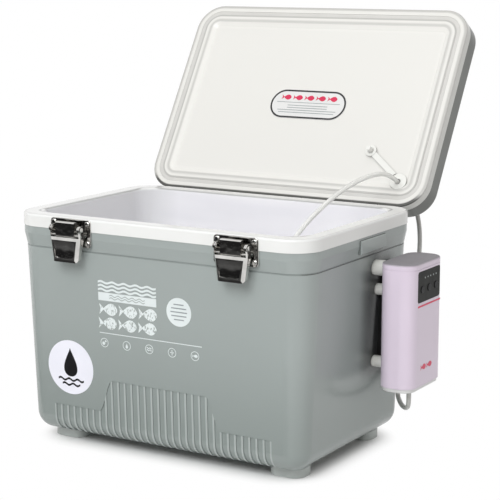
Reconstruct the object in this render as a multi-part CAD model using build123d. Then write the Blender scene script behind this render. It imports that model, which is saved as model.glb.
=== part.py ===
import math
import os
from build123d import *

# Insulated live-bait cooler: a foam-filled tub with a hinged lid, two draw latches,
# and a battery air pump hung on its right side with a hose through the lid.
# Millimetres, +Z up, X left to right, front towards -Y.
# The origin is on the ground under the middle of the tub.
# The lid is drawn closed and then turned open about its hinge.

# how far a cutting solid runs past the piece that it cuts
overrun = 1.0

# ---- tub ----
tub_width = 355.0
tub_depth = 242.0
rim_top = 246.5
corner_radius = 31.0
foot_height = 10.0
foot_length = 38.0
foot_width = 30.0
foot_corner = 11.0
foot_inset_x = 42.8
foot_inset_y = 46.5
shell_wall = 3.5
foam_gap = 0.2
base_edge_radius = 20.0
wall_draft = 2.2
shoulder_low = 212.5
shoulder_high = 225.0
shoulder_inset = 3.3
band_inset = 0.6
seam_groove_depth = 0.9
seam_groove_height = 1.6

# ---- ribbed panel low on the front ----
groove_pitch = 8.3
groove_width = 6.0
groove_depth = 1.1
panel_half_width = 134.0
panel_side_top = 42.5
panel_middle_top = 77.0
panel_step_outer = 75.0
panel_step_inner = 57.0
panel_reach_under = 30.0
panel_edge_steps = 4

# ---- grips moulded under the rim at both sides ----
grip_length = 56.0
grip_centre_y = 17.0
grip_height = 14.0
grip_drop = 2.6
grip_reach = 1.6
grip_edge_radius = 1.2

# ---- white liner and rim band ----
rim_band_height = 13.5
rim_face_width = 17.0
rim_edge_radius = 2.4
liner_wall = 2.6
cavity_floor_height = 36.5
cavity_draft = 3.34
cavity_corner_radius = 26.0
cavity_floor_radius = 11.0

# ---- lid ----
lid_open_angle = 121.4
lid_gap = 0.4
lid_thickness = 33.0
lid_liner_height = 11.5
lid_corner_radius = 31.0
lid_least_corner = 3.0
lid_low_edge_radius = 1.6
lid_top_radius = 5.0
lid_shell_wall = 3.0
gasket_inset = 8.0
gasket_width = 4.6
gasket_depth = 2.4
gasket_clearance = 0.15
lid_ridge_inset = 24.0
lid_panel_depth = 3.4
lid_panel_slope = 60.0
lid_top_border = 22.0
lid_top_recess = 1.6

# share of a screw head's height that is rounded over
screw_dome = 0.6

# ---- hinges ----
hinge_inset = 77.5
hinge_width = 56.0
hinge_offset_y = 3.6
hinge_drop = 3.4
hinge_knuckle_radius = 3.2
hinge_pin_radius = 1.6
hinge_fit = 0.05
hinge_lid_knuckle = 24.0
hinge_knuckle_gap = 0.3
hinge_leaf_thickness = 2.0
hinge_leaf_corner = 2.0
hinge_web_overlap = 3.0
hinge_body_leaf_height = 20.0
hinge_lid_leaf_height = 18.0
hinge_screw_radius = 3.2
hinge_screw_height = 1.0
hinge_screw_spacing = 34.0

# ---- draw latches ----
latch_inset = 78.0
latch_plate_width = 51.0
latch_plate_height = 29.0
latch_plate_thickness = 1.3
latch_plate_corner = 4.0
latch_plate_edge_radius = 0.65
latch_plate_drop = 1.0
latch_screw_radius = 2.6
latch_screw_height = 1.2
latch_screw_margin = 4.3
latch_pivot_reach = 7.9
latch_pivot_drop = 9.5
rivet_radius = 1.5
rivet_head_radius = 2.4
rivet_head_height = 0.9
rivet_play = 0.3
pivot_fit = 0.05
ear_radius = 3.5
ear_gap = 0.4
sheet = 1.2
lever_reach = 13.0
lever_half_width = 19.0
lever_toe_half_width = 15.5
lever_toe_radius = 4.0
lever_bevel = 3.0
lever_dish_inset = 4.4
lever_dish_depth = 0.7
lever_shoulder_drop = 9.75
lever_toe_chamfer = 1.5
lever_toe_height = 3.0
lever_brow_height = 3.0
lever_brow_depth = 1.1
lever_back_rise = 2.0
lever_length = 34.5
lever_boss_radius = 3.8
lever_back_clearance = 3.2
claw_pivot_drop = 6.5
claw_half_width = 11.8
claw_top_rise = 7.2
claw_front_reach = 2.2
claw_hook_reach = 2.4
claw_corner = 1.0
claw_lip = 2.6
claw_pin_radius = 1.2
claw_pin_proud = 0.4
web_top_clearance = 2.2

# ---- keepers on the lid's front edge ----
keeper_width = 25.0
keeper_height = 12.0
keeper_thickness = 1.0
keeper_corner = 1.5
keeper_lip = 1.0
keeper_lip_inset = 2.0
keeper_lip_drop = 0.8
keeper_lip_height = 1.4
keeper_rise = 3.0
keeper_screw_spacing = 15.0
keeper_screw_radius = 1.9
keeper_screw_height = 0.7
keeper_screw_rise = 4.8

# ---- hose grommet and its plug ----
grommet_inset = 36.1
grommet_fit = 0.05
grommet_back = 30.1
grommet_flange_radius = 9.8
grommet_flange_height = 2.0
grommet_tube_radius = 6.4
grommet_bore_radius = 3.0
grommet_seat_gap = 0.2
grommet_edge_radius = 0.9
plug_strap_width = 6.5
plug_strap_height = 2.6
plug_reach_x = 42.0
plug_reach_y = 34.0
plug_head_radius = 6.5
plug_head_height = 3.0
plug_stem_radius = 2.9
plug_stem_height = 8.0
plug_stem_edge_radius = 1.2
plug_strap_start = 6.9

# ---- label on the lid's inner face ----
label_width = 98.0
label_height = 36.0
label_thickness = 0.5
label_from_back = 117.0
label_x = 3.0

# ---- air pump ----
pump_depth = 39.0
pump_width = 78.0
pump_low = 75.0
pump_height = 132.5
pump_centre_y = 41.0
pump_gap = 12.5
pump_corner_radius = 15.0
pump_wall = 2.2
top_cap_height = 6.5
bottom_cap_height = 4.5
cap_inset = 0.4
cap_seam_height = 0.8
cap_spigot_height = 2.5
cap_spigot_gap = 0.2
bottom_cap_inset = 1.4
cap_edge_radius = 2.0
window_width = 52.0
window_height = 32.0
window_top_drop = 8.5
window_corner = 3.0
window_offset_y = 1.0
window_gap = 0.1
window_edge_radius = 0.4
window_thickness = 2.0
window_recess = 1.8
button_radius = 3.8
button_clearance = 0.3
button_proud = 0.7
button_edge_radius = 0.5
button_length = 5.0
button_spacing = 16.0
button_drop = 19.0
light_radius = 0.9
light_spacing = 6.5
light_drop = 7.5
light_count = 5
light_offset_y = 3.0
light_proud = 0.1
chassis_thickness = 3.0
chassis_end_gap = 1.0
board_post_radius = 2.5
board_post_spacing = 30.0
board_post_rise = 8.0
board_thickness = 1.6
board_gap = 1.6
board_width = 50.0
board_height = 26.0
cell_radius = 9.2
cell_length = 65.0
cell_rise = 24.0
cell_offset_y = 7.0
cell_gap = 0.4
motor_radius = 12.0
motor_length = 26.0
motor_offset_y = 17.0
motor_shaft_radius = 1.5
motor_shaft_length = 5.7
motor_gap = 6.0
chamber_height = 22.0
chamber_rise = 2.0
chamber_depth = 27.0
chamber_width = 28.0
chamber_offset_y = 18.0
nipple_radius = 1.9
nipple_reach_x = 29.0
nipple_offset_y = 21.0
nipple_rise = 1.0
case_screw_radius = 2.2
case_screw_height = 1.2
case_screw_offset_x = 4.0
case_screw_offset_y = 6.0
case_screw_spacing = 56.0

# ---- bracket between tub and pump ----
bracket_width = 20.0
bracket_height = 104.0
bracket_drop = 8.0
bracket_offset_y = 14.0
bracket_inset = 1.0
bracket_depth = 11.0
standoff_radius = 6.0
standoff_big_radius = 8.0
standoff_near_offset_y = 4.0
standoff_far_offset_y = 14.0
standoff_top_offset_y = 11.0
standoff_low_rise = 21.5
standoff_middle_drop = 34.5
standoff_top_drop = 10.5
standoff_edge_radius = 1.0

# ---- air line ----
hose_radius = 2.5
hose_hole_clearance = 0.4
stone_radius = 7.5
stone_length = 30.0
stone_nipple_radius = 1.8
stone_nipple_length = 5.0
stone_floor_gap = 0.3
stone_edge_radius = 1.5
stone_approach = 12.0

# ---- places worked out from the sizes above ----
front_face = -tub_depth / 2
back_face = tub_depth / 2
side_face = tub_width / 2
shell_top = rim_top - rim_band_height
cavity_depth = rim_top - cavity_floor_height
foot_x = side_face - foot_inset_x
foot_y = back_face - foot_inset_y
hinge_x = side_face - hinge_inset
latch_x = side_face - latch_inset
grommet_x = side_face - grommet_inset
lid_low = rim_top + lid_gap
lid_liner_top = lid_low + lid_liner_height
lid_top = lid_low + lid_thickness
hinge_y = back_face + hinge_offset_y
hinge_z = rim_top - hinge_drop
hinge_axis = Axis((0, hinge_y, hinge_z), (1, 0, 0))
pump_x = side_face + pump_gap
pump_top = pump_low + pump_height
pump_front = pump_x + pump_depth

# hose routes, chosen point by point: pump to lid, then lid to the air stone
outer_route_low = [
    (219, 20, 66.5),
    (216.2, 25, 56.5),
    (208.5, 34.5, 51),
    (197.5, 46.5, 51),
    (186, 60.5, 57.5),
    (181.8, 78, 71),
    (180.5, 96, 87),
    (176.5, 115, 106),
    (171, 134, 125.5),
    (164.5, 152, 144.5),
    (157.8, 168.5, 163),
    (152, 182, 181),
    (147.5, 193.2, 199.5),
    (144.3, 196.6, 217.6),
    (142, 191.2, 235.6),
]
inner_route_low = [
    (139, 121, 281),
    (135, 93, 281.5),
    (131, 63, 277),
    (127, 35, 269),
    (123, 8, 258),
    (118.5, -18, 244),
    (114, -42, 226),
    (108.5, -61, 202),
    (101.5, -72, 174),
    (93.5, -75, 146),
    (85, -70, 119),
    (77, -63, 94),
    (70, -56.5, 73.5),
    (63, -50, 58.5),
    (54.5, -42, 48.7),
]
outer_exit_run = 5.0
inner_exit_run = 3.0
stone_place = (33.0, -22.0)
stone_heading = 137.0


def block(width, depth, radius, low, high, x=0.0, y=0.0):
    """Upright block with rounded vertical corners."""
    base = Plane((x, y, low)) * RectangleRounded(width, depth, radius)
    return extrude(base, high - low)


def cylinder_z(radius, low, high, x, y):
    return extrude(Plane((x, y, low)) * Circle(radius), high - low)


def cylinder_x(radius, left, right, y, z):
    face = Plane((left, y, z), x_dir=(0, 1, 0), z_dir=(1, 0, 0)) * Circle(radius)
    return extrude(face, right - left)


def cylinder_out(radius, front, back, x, z):
    """Cylinder along Y from front to back."""
    face = Plane((x, front, z), x_dir=(1, 0, 0), z_dir=(0, 1, 0)) * Circle(radius)
    return extrude(face, back - front)


def box(x_low, x_high, y_low, y_high, z_low, z_high):
    centre = ((x_low + x_high) / 2, (y_low + y_high) / 2, (z_low + z_high) / 2)
    return Pos(*centre) * Box(x_high - x_low, y_high - y_low, z_high - z_low)


def upright_plate(width, height, corner, x, centre_z, back, thickness):
    """Plate facing the front: its back face at y = back."""
    plane = Plane((x, back, centre_z), x_dir=(1, 0, 0), z_dir=(0, -1, 0))
    return extrude(plane * RectangleRounded(width, height, corner), thickness)


def side_profile(points, left, right):
    """Solid with the given (y, z) outline between two x positions."""
    wire = Polyline(*[(left, y, z) for y, z in points], close=True)
    return extrude(make_face(wire), right - left, dir=(1, 0, 0))


# ---------------------------------------------------------------- tub

def shell_inset(height):
    """How far the shell's side stands inside the rim's outline."""
    return shoulder_inset + (shoulder_low - height) * math.tan(math.radians(wall_draft))


def tub_outline(inset, height):
    """Rounded plan outline, moved in from the rim's outline."""
    section = RectangleRounded(tub_width - 2 * inset, tub_depth - 2 * inset, corner_radius - inset)
    return Plane((0, 0, height)) * section


def shell_form(wall):
    """Solid inside the shell's skin, with the skin moved inward by wall."""
    base = foot_height + wall
    body = extrude(tub_outline(shoulder_inset + wall, shoulder_low), base - shoulder_low, taper=wall_draft)
    bottom = body.faces().sort_by(Axis.Z)[0].edges()
    body = fillet(bottom, base_edge_radius - wall)
    rise = shoulder_high - shoulder_low
    slope = math.degrees(math.atan((shoulder_inset - band_inset) / rise))
    shoulder = extrude(tub_outline(band_inset + wall, shoulder_high), -rise, taper=slope)
    band = extrude(tub_outline(band_inset + wall, shoulder_high), shell_top - shoulder_high)
    return body + shoulder + band


def panel_top(x):
    """Height of the ribbed panel's upper edge, with a smooth step at each side."""
    step = (panel_step_outer - abs(x)) / (panel_step_outer - panel_step_inner)
    step = min(max(step, 0), 1)
    blend = (1 - math.cos(math.pi * step)) / 2
    return panel_side_top + (panel_middle_top - panel_side_top) * blend


def panel_space(left, right):
    """Everything under the panel's upper edge between two x positions."""
    xs = [left + (right - left) * step / panel_edge_steps for step in range(panel_edge_steps + 1)]
    edge = [(x, panel_top(x)) for x in xs]
    outline = [(left, -overrun), *edge, (right, -overrun)]
    plane = Plane((0, 0, 0), x_dir=(1, 0, 0), z_dir=(0, -1, 0))
    return extrude(plane * make_face(Polyline(*outline, close=True)), tub_depth)


def rib_grooves():
    """The grooves between the ribs: down the front wall and round under the base."""
    lean = math.radians(wall_draft)
    base = foot_height + groove_depth
    arc_radius = base_edge_radius - groove_depth
    wall_foot = front_face + shell_inset(foot_height) + groove_depth / math.cos(lean)
    wall_foot = wall_foot - groove_depth * math.tan(lean)
    setback = arc_radius * math.tan((math.pi / 2 - lean) / 2)
    arc_end = (wall_foot + setback, base)
    arc_start = (wall_foot - setback * math.sin(lean), base + setback * math.cos(lean))
    half_turn = (math.pi / 2 - lean) / 2
    centre = (arc_end[0], base + arc_radius)
    way = -math.pi / 2 - half_turn
    arc_middle = (centre[0] + arc_radius * math.cos(way), centre[1] + arc_radius * math.sin(way))
    inner_end = (arc_end[0] + panel_reach_under, base)
    count = int(2 * panel_half_width / groove_pitch)
    slots = []
    for index in range(count):
        x = (index - (count - 1) / 2) * groove_pitch
        top = max(panel_top(x - groove_width / 2), panel_top(x + groove_width / 2))
        top_y = wall_foot - (top - base) * math.tan(lean)
        outside = front_face - overrun
        left = x - groove_width / 2
        profile = [arc_start, (top_y, top), (outside, top), (outside, foot_height - overrun),
                   (inner_end[0], foot_height - overrun), inner_end, arc_end]
        edges = Polyline(*[(left, y, z) for y, z in profile]).edges()
        bend = ThreePointArc((left, *arc_end), (left, *arc_middle), (left, *arc_start))
        slot = extrude(make_face([*edges, bend]), groove_width, dir=(1, 0, 0))
        slots.append(slot & panel_space(left, left + groove_width))
    return slots


def feet():
    made = []
    for x in (-foot_x, foot_x):
        for y in (-foot_y, foot_y):
            top = foot_height + base_edge_radius / 2
            made.append(block(foot_length, foot_width, foot_corner, 0, top, x, y))
    return made


def grip(side):
    """Ledge under the rim for the fingers; side is +1 for right, -1 for left."""
    top = shell_top - grip_drop
    x_near = side_face - shoulder_inset - shell_wall / 2
    x_far = side_face + grip_reach
    ledge = box(x_near, x_far, grip_centre_y - grip_length / 2, grip_centre_y + grip_length / 2,
                top - grip_height, top)
    ledge = fillet(ledge.faces().sort_by(Axis.X)[-1].edges(), grip_edge_radius)
    return ledge if side > 0 else ledge.mirror(Plane.YZ)


def outer_shell():
    seam_low = shoulder_low - seam_groove_height
    seam = extrude(tub_outline(0, seam_low), seam_groove_height)
    seam = seam - extrude(tub_outline(shoulder_inset + seam_groove_depth, seam_low), seam_groove_height)
    shell = shell_form(0) + [grip(1), grip(-1)]
    shell = shell - rib_grooves() - seam + feet()
    return shell - shell_form(shell_wall)


def liner_mouth(extra, height):
    inset = rim_face_width - extra
    section = RectangleRounded(tub_width - 2 * inset, tub_depth - 2 * inset, cavity_corner_radius + extra)
    return Plane((0, 0, height)) * section


def cavity():
    """The space inside the liner, open at the rim."""
    space = extrude(liner_mouth(0, rim_top), -cavity_depth, taper=cavity_draft)
    return fillet(space.faces().sort_by(Axis.Z)[0].edges(), cavity_floor_radius)


def liner_form(extra):
    """Outside of the liner below the rim band, moved outward by extra."""
    reach = liner_wall + extra
    form = extrude(liner_mouth(reach, rim_top), -(cavity_depth + reach), taper=cavity_draft)
    form = fillet(form.faces().sort_by(Axis.Z)[0].edges(), cavity_floor_radius + reach)
    return form & block(tub_width, tub_depth, corner_radius, 0, shell_top)


def inner_liner():
    rim = extrude(tub_outline(0, shell_top), rim_band_height)
    rim = fillet(rim.faces().sort_by(Axis.Z)[-1].edges(), rim_edge_radius)
    liner = rim + liner_form(0) - cavity()
    top = liner.faces().filter_by(Plane.XY).sort_by(Axis.Z)[-1]
    return fillet(top.inner_wires()[0].edges(), rim_edge_radius)


def tub_insulation():
    return shell_form(shell_wall + foam_gap) - liner_form(foam_gap)


# ---------------------------------------------------------------- lid

def lid_outline(inset, height):
    corner = max(lid_corner_radius - inset, lid_least_corner)
    section = RectangleRounded(tub_width - 2 * inset, tub_depth - 2 * inset, corner)
    return Plane((0, 0, height)) * section


def lid_ring(outer_inset, inner_inset, low, high):
    outer = extrude(lid_outline(outer_inset, low), high - low)
    return outer - extrude(lid_outline(inner_inset, low), high - low)


def lid_panel_space():
    """Recess of the lid's inner panel, with sloping sides."""
    wide = lid_outline(lid_ridge_inset - lid_panel_depth, lid_low)
    return extrude(wide, lid_panel_depth, taper=lid_panel_slope)


def grommet_y():
    return back_face - grommet_back


def grommet_hole(radius):
    return cylinder_z(radius, lid_low - overrun, lid_top + overrun, grommet_x, grommet_y())


def lid_liner():
    tray = extrude(lid_outline(0, lid_low), lid_liner_height)
    outer = tray.faces().sort_by(Axis.Z)[0].edges()
    tray = fillet(outer, lid_low_edge_radius)
    groove = lid_ring(gasket_inset, gasket_inset + gasket_width, lid_low, lid_low + gasket_depth)
    seat = cylinder_z(grommet_flange_radius + grommet_seat_gap, lid_low, lid_low + lid_panel_depth,
                      grommet_x, grommet_y())
    return tray - groove - lid_panel_space() - seat - grommet_hole(grommet_tube_radius + grommet_fit)


def lid_shell():
    cap = extrude(lid_outline(0, lid_liner_top), lid_top - lid_liner_top)
    cap = fillet(cap.faces().sort_by(Axis.Z)[-1].edges(), lid_top_radius)
    recess = extrude(lid_outline(lid_top_border, lid_top - lid_top_recess), lid_top_recess + overrun)
    hollow = extrude(lid_outline(lid_shell_wall, lid_liner_top), lid_thickness - lid_liner_height
                     - lid_shell_wall - lid_top_recess)
    hollow = fillet(hollow.faces().sort_by(Axis.Z)[-1].edges(), lid_top_radius - lid_shell_wall)
    seat = cylinder_z(grommet_flange_radius + grommet_seat_gap, lid_top - lid_top_recess, lid_top,
                      grommet_x, grommet_y())
    return cap - recess - hollow - seat - grommet_hole(grommet_tube_radius + grommet_fit)


def lid_insulation():
    wall = lid_shell_wall + foam_gap
    low = lid_liner_top + foam_gap
    high = lid_top - lid_shell_wall - lid_top_recess - foam_gap
    core = extrude(lid_outline(wall, low), high - low)
    core = fillet(core.faces().sort_by(Axis.Z)[-1].edges(), lid_top_radius - lid_shell_wall)
    return core - grommet_hole(grommet_tube_radius + foam_gap)


def lid_gasket():
    inset = gasket_inset + gasket_clearance
    return lid_ring(inset, gasket_inset + gasket_width - gasket_clearance,
                    lid_low + gasket_clearance, lid_low + gasket_depth)


def hose_grommet():
    """Rubber ring seen on the lid's inner panel, with a flange on the outside too."""
    inner_face = lid_low + lid_panel_depth
    outer_face = lid_top - lid_top_recess
    x, y = grommet_x, grommet_y()
    ring = cylinder_z(grommet_flange_radius, inner_face - grommet_flange_height, inner_face, x, y)
    ring = fillet(ring.faces().sort_by(Axis.Z)[0].edges(), grommet_edge_radius)
    tube = cylinder_z(grommet_tube_radius, inner_face, outer_face, x, y)
    outer = cylinder_z(grommet_flange_radius, outer_face, outer_face + grommet_flange_height, x, y)
    outer = fillet(outer.faces().sort_by(Axis.Z)[-1].edges(), grommet_edge_radius)
    return ring + tube + outer - grommet_hole(grommet_bore_radius)


def grommet_plug():
    """Spare plug for the grommet on its strap, lying against the lid's inner panel."""
    face = lid_low + lid_panel_depth
    start = (grommet_x - plug_strap_start, grommet_y() - plug_strap_start)
    end = (grommet_x - plug_reach_x, grommet_y() - plug_reach_y)
    length = math.dist(start, end)
    angle = math.degrees(math.atan2(end[1] - start[1], end[0] - start[0]))
    middle = ((start[0] + end[0]) / 2, (start[1] + end[1]) / 2)
    plane = Plane((middle[0], middle[1], face - plug_strap_height)).rotated((0, 0, angle))
    strap = extrude(plane * SlotOverall(length + plug_strap_width, plug_strap_width), plug_strap_height)
    head = cylinder_z(plug_head_radius, face - plug_head_height, face, *end)
    stem = cylinder_z(plug_stem_radius, face - plug_head_height - plug_stem_height, face, *end)
    stem = fillet(stem.faces().sort_by(Axis.Z)[0].edges(), plug_stem_edge_radius)
    collar = cylinder_z(grommet_flange_radius + grommet_seat_gap, lid_low, lid_top, grommet_x, grommet_y())
    return strap + head + stem - collar


def lid_label():
    face = lid_low + lid_panel_depth
    plane = Plane((label_x, back_face - label_from_back, face - label_thickness))
    return extrude(plane * SlotOverall(label_width, label_height), label_thickness)


# ---------------------------------------------------------------- hinges

body_leaf_top = hinge_z - hinge_knuckle_radius - 2 * hinge_knuckle_gap
lid_leaf_low = hinge_z + hinge_knuckle_radius + 2 * hinge_knuckle_gap


def hinge_body_leaf(x):
    outer_length = (hinge_width - hinge_lid_knuckle) / 2 - hinge_knuckle_gap
    left = x - hinge_width / 2
    right = x + hinge_width / 2
    leaf = None
    for start in (left, right - outer_length):
        web = box(start, start + outer_length, back_face, back_face + hinge_leaf_thickness,
                  body_leaf_top - hinge_web_overlap, hinge_z)
        piece = web + cylinder_x(hinge_knuckle_radius, start, start + outer_length, hinge_y, hinge_z)
        leaf = piece if leaf is None else leaf + piece
    plate = upright_plate(hinge_width, hinge_body_leaf_height, hinge_leaf_corner, x,
                          body_leaf_top - hinge_body_leaf_height / 2,
                          back_face + hinge_leaf_thickness, hinge_leaf_thickness)
    leaf = leaf + plate
    return leaf - cylinder_x(hinge_pin_radius, left - overrun, right + overrun, hinge_y, hinge_z)


def hinge_lid_leaf(x):
    half = hinge_lid_knuckle / 2
    inner = hinge_y - hinge_knuckle_radius
    plate = upright_plate(hinge_width, hinge_lid_leaf_height, hinge_leaf_corner, x,
                          lid_leaf_low + hinge_lid_leaf_height / 2,
                          inner + hinge_leaf_thickness, hinge_leaf_thickness)
    web = box(x - half, x + half, inner, inner + hinge_leaf_thickness, hinge_z,
              lid_leaf_low + hinge_web_overlap)
    knuckle = cylinder_x(hinge_knuckle_radius, x - half, x + half, hinge_y, hinge_z)
    leaf = plate + web + knuckle
    return leaf - cylinder_x(hinge_pin_radius + hinge_fit, x - half - overrun, x + half + overrun,
                             hinge_y, hinge_z)


def hinge_pin(x):
    half = hinge_width / 2
    return cylinder_x(hinge_pin_radius, x - half, x + half, hinge_y, hinge_z)


def screw_head(x, face, z, radius, height, outward):
    """Domed screw head on a front or back face; outward is -1 for the front, +1 for the back."""
    near = min(face, face + outward * height)
    head = cylinder_out(radius, near, near + height, x, z)
    rim = head.faces().sort_by(Axis.Y)[-1 if outward > 0 else 0].edges()
    return fillet(rim, height * screw_dome)


def hinge_screws(height, face):
    screws = []
    for x in (-hinge_x, hinge_x):
        for offset in (-hinge_screw_spacing / 2, hinge_screw_spacing / 2):
            screws.append(screw_head(x + offset, face, height, hinge_screw_radius,
                                     hinge_screw_height, 1))
    return Compound(screws)


# ---------------------------------------------------------------- draw latches

plate_front = front_face - latch_plate_thickness
plate_top = rim_top - latch_plate_drop
plate_centre_z = plate_top - latch_plate_height / 2
pivot_y = plate_front - latch_pivot_reach
pivot_z = plate_top - latch_pivot_drop
claw_y = pivot_y
claw_z = pivot_z - claw_pivot_drop
lever_front = front_face - lever_reach
ear_outer = lever_half_width - sheet - ear_gap


def latch_plate(x):
    plate = upright_plate(latch_plate_width, latch_plate_height, latch_plate_corner, x,
                          plate_centre_z, front_face, latch_plate_thickness)
    front = plate.faces().sort_by(Axis.Y)[0].edges()
    plate = fillet(front, latch_plate_edge_radius)
    for side in (-1, 1):
        far = x + side * ear_outer
        near = x + side * (ear_outer - sheet)
        left, right = min(far, near), max(far, near)
        arm = box(left, right, pivot_y, plate_front + sheet / 2, pivot_z - ear_radius, pivot_z + ear_radius)
        arm = arm + cylinder_x(ear_radius, left, right, pivot_y, pivot_z)
        plate = plate + (arm - cylinder_x(rivet_radius, left, right, pivot_y, pivot_z))
    return plate


def latch_screws(x):
    screws = []
    reach_x = latch_plate_width / 2 - latch_screw_margin
    reach_z = latch_plate_height / 2 - latch_screw_margin
    for side in (-1, 1):
        for level in (-1, 1):
            screws.append(screw_head(x + side * reach_x, plate_front, plate_centre_z + level * reach_z,
                                     latch_screw_radius, latch_screw_height, -1))
    return Compound(screws)


def lever_outline(shrink):
    """Front outline of the lever, moved in by shrink."""
    shoulder = pivot_z - lever_shoulder_drop
    low = pivot_z - lever_length + shrink
    high = pivot_z + lever_boss_radius
    half = lever_half_width - shrink
    toe = lever_toe_half_width - shrink
    return [(-toe, low), (toe, low), (half, shoulder), (half, high), (-half, high), (-half, shoulder)]


def lever_side(shrink):
    """Side outline of the lever, moved in at the front by shrink."""
    back = plate_front - lever_back_clearance
    low = pivot_z - lever_length + shrink
    front = lever_front + shrink
    brow = claw_z - web_top_clearance
    return [(back - lever_toe_chamfer, low), (front + lever_toe_chamfer, low),
            (front, low + lever_toe_height),
            (front, brow - lever_brow_height), (front + lever_brow_depth, brow),
            (pivot_y - lever_boss_radius, pivot_z), (pivot_y + lever_boss_radius, pivot_z),
            (back, claw_z - lever_back_rise)]


def front_block(shrink, x):
    """Block with the lever's front outline and its rounded toe corners."""
    face = make_face(Polyline(*lever_outline(shrink), close=True))
    face = fillet(face.vertices().sort_by(Axis.Y)[:2], lever_toe_radius - shrink / 2)
    plane = Plane((x, 0, 0), x_dir=(1, 0, 0), z_dir=(0, -1, 0))
    return extrude(plane * face, tub_depth)


def flank_block(shrink, x):
    """Block that cuts the two sloping flanks beside the lever's front."""
    low = pivot_z - lever_length
    shoulder = pivot_z - lever_shoulder_drop
    lean = (lever_half_width - lever_toe_half_width) / (shoulder - low)
    top = shoulder + lever_half_width
    front = lever_front - overrun
    back = lever_front + lever_half_width
    cut = lever_bevel + shrink * (math.sqrt(2) - 1)
    sections = []
    for z in (low - lever_half_width, top):
        half = lever_toe_half_width + (z - low) * lean - shrink
        narrow = half - cut - overrun
        wide = half - cut + (back - lever_front)
        half_outline = [(narrow, front), (wide, back), (wide, 0)]
        outline = [(x + reach, y) for reach, y in half_outline]
        outline = outline + [(x - reach, y) for reach, y in reversed(half_outline)]
        sections.append(Plane((0, 0, z)) * make_face(Polyline(*outline, close=True)))
    return loft(sections, ruled=True)


def lever_scoop(left, right, low, high):
    """Part of a lying cylinder that hollows the lever's face between two heights."""
    half = (high - low) / 2
    radius = (half ** 2 + lever_dish_depth ** 2) / (2 * lever_dish_depth)
    return cylinder_x(radius, left, right, lever_front + lever_dish_depth - radius, (low + high) / 2)


def lever(x):
    left = x - lever_half_width
    right = x + lever_half_width
    boss = cylinder_x(lever_boss_radius, left, right, pivot_y, pivot_z)
    shape = (side_profile(lever_side(0), left, right) & flank_block(0, x)) + boss
    outer = shape & front_block(0, x)
    inner_half = lever_half_width - sheet
    room = side_profile(lever_side(sheet), left, right) & front_block(sheet, x) & flank_block(sheet, x)
    above = pivot_z + lever_boss_radius + overrun
    behind = box(left, right, plate_front - lever_back_clearance - lever_toe_chamfer - overrun, 0,
                 pivot_z - lever_length + sheet, above) & front_block(sheet, x)
    window = box(x - inner_half, x + inner_half, lever_front - overrun, 0, claw_z - web_top_clearance, above)
    dish_low = pivot_z - lever_length + lever_dish_inset
    dish_high = claw_z - web_top_clearance - lever_dish_inset
    dish = lever_scoop(left, right, dish_low, dish_high) & front_block(lever_dish_inset, x)
    body = outer - room - behind - window - dish
    for axle_y, axle_z, radius in ((pivot_y, pivot_z, rivet_radius + pivot_fit),
                                   (claw_y, claw_z, claw_pin_radius)):
        body = body - cylinder_x(radius, left - overrun, right + overrun, axle_y, axle_z)
    return body


def lever_rivets(x):
    rivets = []
    for side in (-1, 1):
        inner = ear_outer - sheet
        outer = lever_half_width + rivet_play
        spans = [(rivet_radius, inner, outer), (rivet_head_radius, inner - rivet_head_height, inner),
                 (rivet_head_radius, outer, outer + rivet_head_height)]
        rivet = None
        for radius, near, far in spans:
            left = min(side * near, side * far)
            right = max(side * near, side * far)
            piece = cylinder_x(radius, x + left, x + right, pivot_y, pivot_z)
            rivet = piece if rivet is None else rivet + piece
        rivets.append(rivet)
    return Compound(rivets)


def claw(x):
    """Hook plate that stands up from the lever and catches the keeper."""
    left = x - claw_half_width
    right = x + claw_half_width
    front = claw_y - claw_front_reach
    top = pivot_z + claw_top_rise
    hook = pivot_y + claw_hook_reach
    inner_corner = claw_corner + sheet * math.tan(math.pi / 8)
    bend = [(front, claw_z), (front, top - claw_corner), (front + claw_corner, top), (hook, top),
            (hook, top - claw_lip), (hook - sheet, top - claw_lip), (hook - sheet, top - sheet),
            (front + inner_corner, top - sheet), (front + sheet, top - inner_corner), (front + sheet, claw_z)]
    plate = side_profile(bend, left, right)
    barrel = cylinder_x(claw_front_reach, left, right, claw_y, claw_z)
    body = plate + barrel
    return body - cylinder_x(claw_pin_radius + pivot_fit, left - overrun, right + overrun, claw_y, claw_z)


def claw_pin(x):
    half = lever_half_width + claw_pin_proud
    return cylinder_x(claw_pin_radius, x - half, x + half, claw_y, claw_z)


def keeper(x):
    low = lid_low + keeper_rise
    plate = upright_plate(keeper_width, keeper_height, keeper_corner, x, low + keeper_height / 2,
                          front_face, keeper_thickness)
    lip_half = keeper_width / 2 - keeper_lip_inset
    lip_top = low + keeper_height - keeper_lip_drop
    lip = box(x - lip_half, x + lip_half, front_face - keeper_thickness - keeper_lip,
              front_face - keeper_thickness / 2, lip_top - keeper_lip_height, lip_top)
    return plate + lip


def keeper_screws():
    screws = []
    z = lid_low + keeper_rise + keeper_screw_rise
    for x in (-latch_x, latch_x):
        for offset in (-keeper_screw_spacing / 2, keeper_screw_spacing / 2):
            screws.append(screw_head(x + offset, front_face - keeper_thickness, z,
                                     keeper_screw_radius, keeper_screw_height, -1))
    return Compound(screws)


# ---------------------------------------------------------------- pump

def pump_section(inset, low):
    section = RectangleRounded(pump_depth - 2 * inset, pump_width - 2 * inset,
                               pump_corner_radius - inset)
    return Plane((pump_x + pump_depth / 2, pump_centre_y, low)) * section


def pump_block(inset, low, high):
    return extrude(pump_section(inset, low), high - low)


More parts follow.
